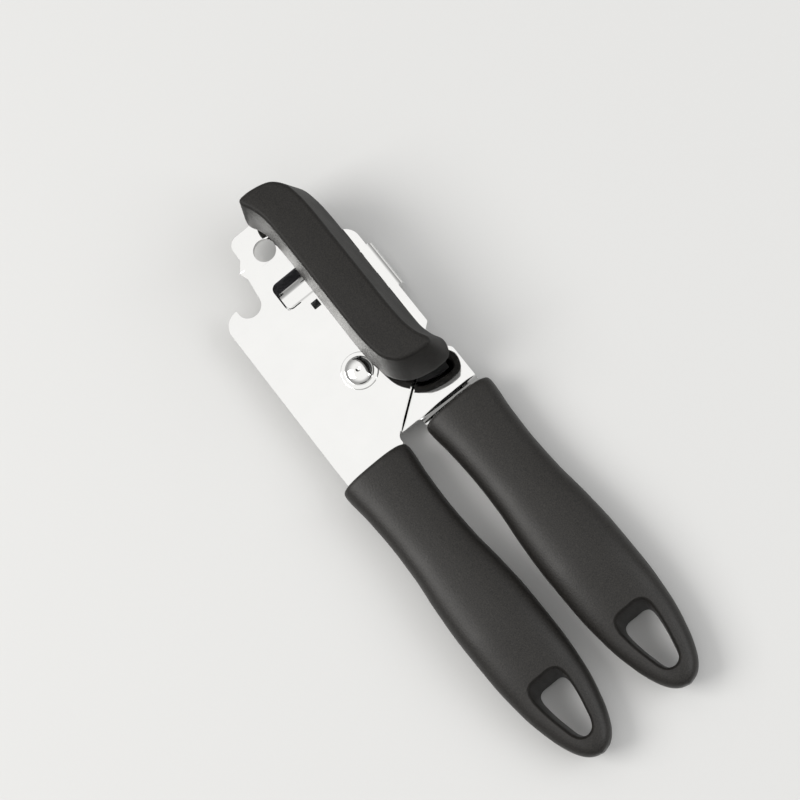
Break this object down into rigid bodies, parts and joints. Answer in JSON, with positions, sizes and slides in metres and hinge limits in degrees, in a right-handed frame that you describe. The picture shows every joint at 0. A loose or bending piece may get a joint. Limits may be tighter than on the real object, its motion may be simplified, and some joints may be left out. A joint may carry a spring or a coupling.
{
  "type": "manual can opener",
  "caption": "Hand-held can opener with two pivoting steel plates, moulded grips with hang holes, a cutting wheel and a turning knob that drives a toothed feed wheel.",
  "frame": {"origin": "centre of the bounding box in plan, on the plane that the closed opener lies on", "axes": "+Z towards the knob, +Y from the grips to the head, +X towards the crank's side"},
  "size_m": [0.0616, 0.2074, 0.0344],
  "materials": {
    "polished_steel": "mirror-polished plate, slight orange peel",
    "zinc_steel": "bright zinc plate, turned",
    "hardened_steel": "ground and hardened",
    "soft_black": "soft-touch black with a fine grain",
    "hard_black": "moulded hard plastic"
  },
  "bodies": {
    "left_arm": {"upper_plate": "polished_steel", "left_grip_shell": "soft_black", "left_grip_insert": "hard_black", "pivot_rivet": "polished_steel", "pivot_front_washer": "polished_steel", "pivot_mid_washer": "zinc_steel", "pivot_back_washer": "zinc_steel", "crank_bushing": "zinc_steel"},
    "right_arm": {"lower_plate": "polished_steel", "right_grip_shell": "soft_black", "right_grip_insert": "hard_black", "cutter_axle": "zinc_steel", "cutter_spacer": "zinc_steel", "cutter_washer": "zinc_steel"},
    "crank": {"knob_cover": "soft_black", "knob_insert": "hard_black", "crank_shaft": "zinc_steel", "crank_pin": "hardened_steel", "crank_spring_washer": "zinc_steel", "feed_wheel": "hardened_steel", "feed_wheel_washer": "zinc_steel", "feed_wheel_nut": "zinc_steel"},
    "cutter": {"cutting_wheel": "hardened_steel"}
  },
  "joints": [
    {"name": "handle_pivot", "type": "hinge", "parent": "left_arm", "child": "right_arm", "pos_m": [-0.00231, 0.03816, 0.0081], "axis": [0, 0, 1], "range_deg": [0, 40]},
    {"name": "crank_turn", "type": "hinge", "parent": "left_arm", "child": "crank", "pos_m": [0.01189, 0.06216, 0.0097], "axis": [0, 0, 1], "continuous": true},
    {"name": "cutter_spin", "type": "hinge", "parent": "right_arm", "child": "cutter", "pos_m": [-0.00261, 0.06046, 0.002], "axis": [0, 0, 1], "continuous": true}
  ]
}
